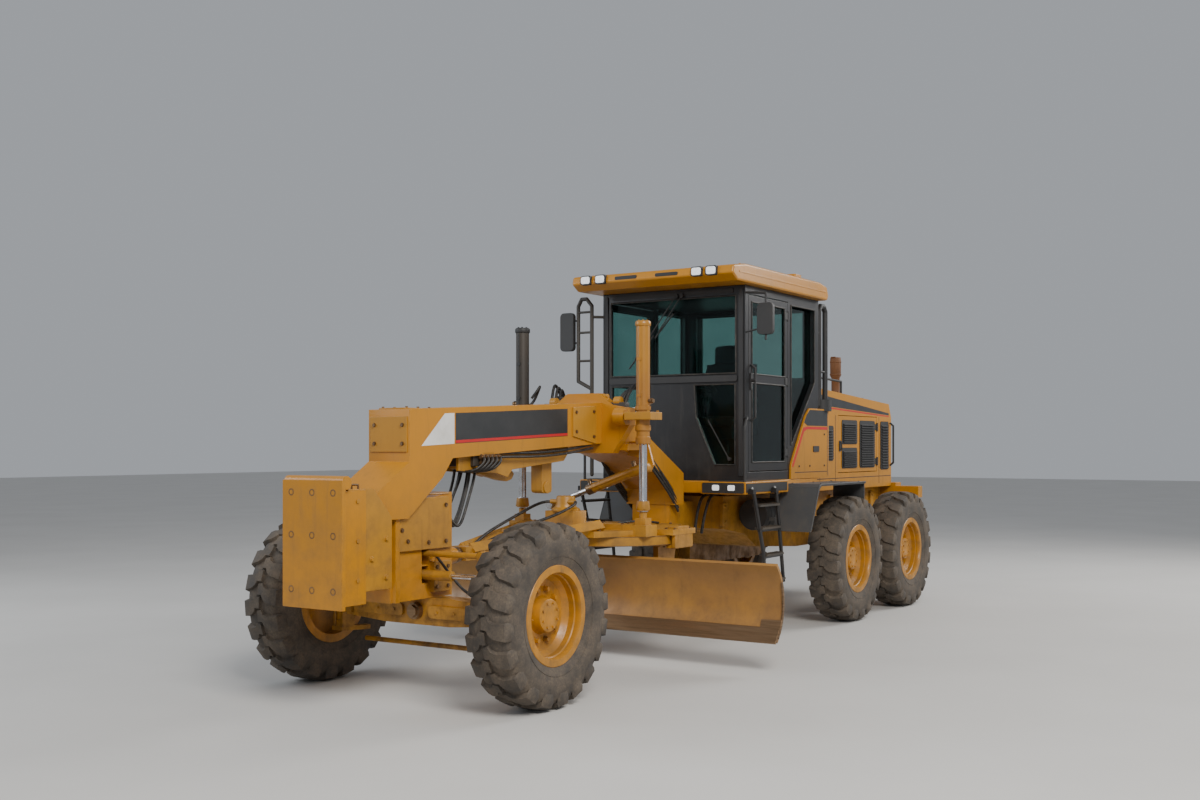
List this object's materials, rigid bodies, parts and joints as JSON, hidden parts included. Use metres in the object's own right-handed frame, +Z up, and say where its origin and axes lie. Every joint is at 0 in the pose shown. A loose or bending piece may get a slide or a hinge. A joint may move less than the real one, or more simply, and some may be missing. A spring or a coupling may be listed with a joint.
{
  "type": "motor grader",
  "caption": "Articulated six-wheel motor grader with a long curved blade under an arched front frame, a tall glazed cab and a rear engine.",
  "frame": {"origin": "on the ground, under the centre of the machine's bounding box", "axes": "+X forward, +Y to the machine's left, +Z up"},
  "size_m": [9.2, 3.668, 3.44],
  "materials": {
    "tyre_rubber": "matte, lugged",
    "rim_paint": "gloss yellow, dusty",
    "machine_yellow": "satin yellow enamel",
    "worn_yellow": "worn yellow enamel over steel",
    "black_paint": "satin black",
    "fender_plastic": "matt dark grey",
    "engine_iron": "dull dark grey",
    "cab_glass": "tinted glass",
    "seat_fabric": "dark grey cloth",
    "bare_steel": "scraped steel",
    "chrome_rod": "polished rod",
    "rusty_pipe": "rusted"
  },
  "bodies": {
    "rear_frame": {"rear_frame": "machine_yellow", "platform": "machine_yellow", "hood": "machine_yellow", "engine_block": "engine_iron", "exhaust_stack": "rusty_pipe", "rear_bumper": "machine_yellow", "cab_frame": "black_paint", "cab_roof": "machine_yellow", "windscreen": "cab_glass", "rear_glazing": "cab_glass", "driver_seat": "seat_fabric", "control_console": "black_paint", "tandem_case_left": "machine_yellow", "tandem_case_right": "machine_yellow", "ladder_left": "black_paint", "ladder_right": "black_paint", "fender_left": "fender_plastic", "fender_right": "fender_plastic"},
    "front_frame": {"front_frame": "machine_yellow", "front_axle": "machine_yellow", "push_plate": "machine_yellow"},
    "lean_left": {"lean_bracket_left": "machine_yellow"},
    "steer_left": {"knuckle_left": "machine_yellow"},
    "wheel_front_left": {"tyre_front_left": "tyre_rubber", "rim_front_left": "rim_paint"},
    "wheel_middle_left": {"tyre_middle_left": "tyre_rubber", "rim_middle_left": "rim_paint"},
    "wheel_rear_left": {"tyre_rear_left": "tyre_rubber", "rim_rear_left": "rim_paint"},
    "lean_right": {"lean_bracket_right": "machine_yellow"},
    "steer_right": {"knuckle_right": "machine_yellow"},
    "wheel_front_right": {"tyre_front_right": "tyre_rubber", "rim_front_right": "rim_paint"},
    "wheel_middle_right": {"tyre_middle_right": "tyre_rubber", "rim_middle_right": "rim_paint"},
    "wheel_rear_right": {"tyre_rear_right": "tyre_rubber", "rim_rear_right": "rim_paint"},
    "lean_bar": {"lean_bar": "machine_yellow"},
    "tie_rod_end": {"tie_rod_end": "bare_steel"},
    "tie_rod": {"tie_rod": "machine_yellow"},
    "lean_ram_barrel": {"lean_ram_barrel": "machine_yellow"},
    "lean_ram_rod": {"lean_ram_rod": "chrome_rod"},
    "drawbar_ball": {"drawbar_ball": "bare_steel"},
    "drawbar": {"drawbar": "machine_yellow"},
    "circle": {"circle": "worn_yellow"},
    "blade_carrier": {"blade_carrier": "worn_yellow"},
    "moldboard": {"moldboard": "worn_yellow", "cutting_edge": "bare_steel"},
    "lift_yoke_left": {"lift_yoke_left": "machine_yellow"},
    "lift_barrel_left": {"lift_barrel_left": "machine_yellow"},
    "lift_rod_left": {"lift_rod_left": "worn_yellow"},
    "lift_yoke_right": {"lift_yoke_right": "machine_yellow"},
    "lift_barrel_right": {"lift_barrel_right": "machine_yellow"},
    "lift_rod_right": {"lift_rod_right": "worn_yellow"},
    "shift_barrel": {"shift_barrel": "machine_yellow"},
    "shift_rod": {"shift_rod": "chrome_rod"},
    "cab_door_left": {"cab_door_left": "black_paint"},
    "engine_door_left": {"engine_door_left": "machine_yellow"},
    "cab_door_right": {"cab_door_right": "black_paint"},
    "engine_door_right": {"engine_door_right": "machine_yellow"}
  },
  "joints": [
    {"name": "articulation", "type": "hinge", "parent": "rear_frame", "child": "front_frame", "pos_m": [0, 0, 1.1], "axis": [0, 0, 1], "range_deg": [-20, 20]},
    {"name": "wheel_lean_left", "type": "hinge", "parent": "front_frame", "child": "lean_left", "pos_m": [3.49, 0.66, 0.6], "axis": [1, 0, 0], "range_deg": [-18, 18]},
    {"name": "steering_left", "type": "hinge", "parent": "lean_left", "child": "steer_left", "pos_m": [3.49, 0.81, 0.635], "axis": [0, 0, 1], "range_deg": [-47, 47]},
    {"name": "wheel_front_left_spin", "type": "hinge", "parent": "steer_left", "child": "wheel_front_left", "pos_m": [3.49, 1.033, 0.635], "axis": [0, 1, 0], "continuous": true},
    {"name": "wheel_middle_left_spin", "type": "hinge", "parent": "rear_frame", "child": "wheel_middle_left", "pos_m": [-1.866, 1.033, 0.635], "axis": [0, 1, 0], "continuous": true},
    {"name": "wheel_rear_left_spin", "type": "hinge", "parent": "rear_frame", "child": "wheel_rear_left", "pos_m": [-3.388, 1.033, 0.635], "axis": [0, 1, 0], "continuous": true},
    {"name": "wheel_lean_right", "type": "hinge", "parent": "front_frame", "child": "lean_right", "pos_m": [3.49, -0.66, 0.6], "axis": [1, 0, 0], "range_deg": [-18, 18]},
    {"name": "steering_right", "type": "hinge", "parent": "lean_right", "child": "steer_right", "pos_m": [3.49, -0.81, 0.635], "axis": [0, 0, 1], "range_deg": [-47, 47]},
    {"name": "wheel_front_right_spin", "type": "hinge", "parent": "steer_right", "child": "wheel_front_right", "pos_m": [3.49, -1.033, 0.635], "axis": [0, 1, 0], "continuous": true},
    {"name": "wheel_middle_right_spin", "type": "hinge", "parent": "rear_frame", "child": "wheel_middle_right", "pos_m": [-1.866, -1.033, 0.635], "axis": [0, 1, 0], "continuous": true},
    {"name": "wheel_rear_right_spin", "type": "hinge", "parent": "rear_frame", "child": "wheel_rear_right", "pos_m": [-3.388, -1.033, 0.635], "axis": [0, 1, 0], "continuous": true},
    {"name": "lean_bar_swing", "type": "hinge", "parent": "lean_left", "child": "lean_bar", "pos_m": [3.612, 0.64, 1.02], "axis": [1, 0, 0], "range_deg": [-18, 18]},
    {"name": "tie_rod_turn", "type": "hinge", "parent": "steer_left", "child": "tie_rod_end", "pos_m": [3.32, 0.72, 0.355], "axis": [0, 0, 1], "range_deg": [-47, 47]},
    {"name": "tie_rod_tilt", "type": "hinge", "parent": "tie_rod_end", "child": "tie_rod", "pos_m": [3.32, 0.72, 0.3164], "axis": [1, 0, 0], "range_deg": [-18, 18]},
    {"name": "lean_ram_swing", "type": "hinge", "parent": "front_frame", "child": "lean_ram_barrel", "pos_m": [3.625, 0, 0.87], "axis": [1, 0, 0], "range_deg": [-3, 3]},
    {"name": "lean_ram_stroke", "type": "slide", "parent": "lean_ram_barrel", "child": "lean_ram_rod", "axis": [0, 1, 0], "range_m": [-0.09, 0.09]},
    {"name": "drawbar_swing", "type": "hinge", "parent": "front_frame", "child": "drawbar_ball", "pos_m": [3.13, 0, 0.97], "axis": [0, 0, -1], "range_deg": [-18, 18]},
    {"name": "blade_lift", "type": "hinge", "parent": "drawbar_ball", "child": "drawbar", "pos_m": [3.13, 0, 0.97], "axis": [0, 1, 0], "range_deg": [-20, 6]},
    {"name": "circle_turn", "type": "hinge", "parent": "drawbar", "child": "circle", "pos_m": [1.09, 0, 1], "axis": [0, 0, 1], "continuous": true},
    {"name": "blade_tilt", "type": "hinge", "parent": "circle", "child": "blade_carrier", "pos_m": [1.1, 0, 0.43], "axis": [0, 1, 0], "range_deg": [-5, 40]},
    {"name": "blade_shift", "type": "slide", "parent": "blade_carrier", "child": "moldboard", "axis": [0, 1, 0], "range_m": [-0.35, 0.75]},
    {"name": "lift_yoke_left_swing", "type": "hinge", "parent": "front_frame", "child": "lift_yoke_left", "pos_m": [1.45, 0.62, 2.03], "axis": [0, 1, 0], "range_deg": [-15, 15]},
    {"name": "lift_barrel_left_swing", "type": "hinge", "parent": "lift_yoke_left", "child": "lift_barrel_left", "pos_m": [1.45, 0.62, 2.03], "axis": [1, 0, 0], "range_deg": [-36, 36]},
    {"name": "lift_rod_left_stroke", "type": "slide", "parent": "lift_barrel_left", "child": "lift_rod_left", "axis": [0, 0, 1], "range_m": [-0.62, 0.2]},
    {"name": "lift_yoke_right_swing", "type": "hinge", "parent": "front_frame", "child": "lift_yoke_right", "pos_m": [1.45, -0.62, 2.03], "axis": [0, 1, 0], "range_deg": [-15, 15]},
    {"name": "lift_barrel_right_swing", "type": "hinge", "parent": "lift_yoke_right", "child": "lift_barrel_right", "pos_m": [1.45, -0.62, 2.03], "axis": [1, 0, 0], "range_deg": [-36, 36]},
    {"name": "lift_rod_right_stroke", "type": "slide", "parent": "lift_barrel_right", "child": "lift_rod_right", "axis": [0, 0, 1], "range_m": [-0.62, 0.2]},
    {"name": "shift_barrel_swing", "type": "hinge", "parent": "front_frame", "child": "shift_barrel", "pos_m": [1.12, 0.44, 1.6], "axis": [1, 0, 0], "range_deg": [-12, 36]},
    {"name": "shift_rod_stroke", "type": "slide", "parent": "shift_barrel", "child": "shift_rod", "axis": [0, -0.9428, -0.3333], "range_m": [-0.6, 0.6]},
    {"name": "cab_door_left_hinge", "type": "hinge", "parent": "rear_frame", "child": "cab_door_left", "pos_m": [-1.0197, 0.78, 1.546], "axis": [0, 0, 1], "range_deg": [0, 75]},
    {"name": "engine_door_left_hinge", "type": "hinge", "parent": "rear_frame", "child": "engine_door_left", "pos_m": [-3.9497, 0.56, 1.48], "axis": [0, 0, 1], "range_deg": [0, 85]},
    {"name": "cab_door_right_hinge", "type": "hinge", "parent": "rear_frame", "child": "cab_door_right", "pos_m": [-1.0197, -0.78, 1.546], "axis": [0, 0, -1], "range_deg": [0, 75]},
    {"name": "engine_door_right_hinge", "type": "hinge", "parent": "rear_frame", "child": "engine_door_right", "pos_m": [-3.9497, -0.56, 1.48], "axis": [0, 0, -1], "range_deg": [0, 85]}
  ],
  "couplings": [
    {"joint": "wheel_lean_right", "follows": "wheel_lean_left", "ratio": 1},
    {"joint": "steering_right", "follows": "steering_left", "ratio": 1},
    {"joint": "lean_bar_swing", "follows": "wheel_lean_left", "ratio": -1},
    {"joint": "tie_rod_turn", "follows": "steering_left", "ratio": -1},
    {"joint": "tie_rod_tilt", "follows": "wheel_lean_left", "ratio": -1},
    {"joint": "lean_ram_swing", "follows": "wheel_lean_left", "ratio": -0.07},
    {"joint": "lean_ram_stroke", "follows": "wheel_lean_left", "m_per_rad": -0.27},
    {"joint": "lift_yoke_left_swing", "follows": "drawbar_swing", "ratio": -0.775},
    {"joint": "lift_barrel_left_swing", "follows": "drawbar_swing", "ratio": 1.83},
    {"joint": "lift_rod_left_stroke", "follows": "blade_lift", "m_per_rad": 1.66},
    {"joint": "lift_yoke_right_swing", "follows": "drawbar_swing", "ratio": 0.775},
    {"joint": "lift_barrel_right_swing", "follows": "drawbar_swing", "ratio": 1.83},
    {"joint": "lift_rod_right_stroke", "follows": "blade_lift", "m_per_rad": 1.66},
    {"joint": "shift_barrel_swing", "follows": "blade_lift", "ratio": -1.7},
    {"joint": "shift_rod_stroke", "follows": "drawbar_swing", "m_per_rad": -1.1}
  ]
}
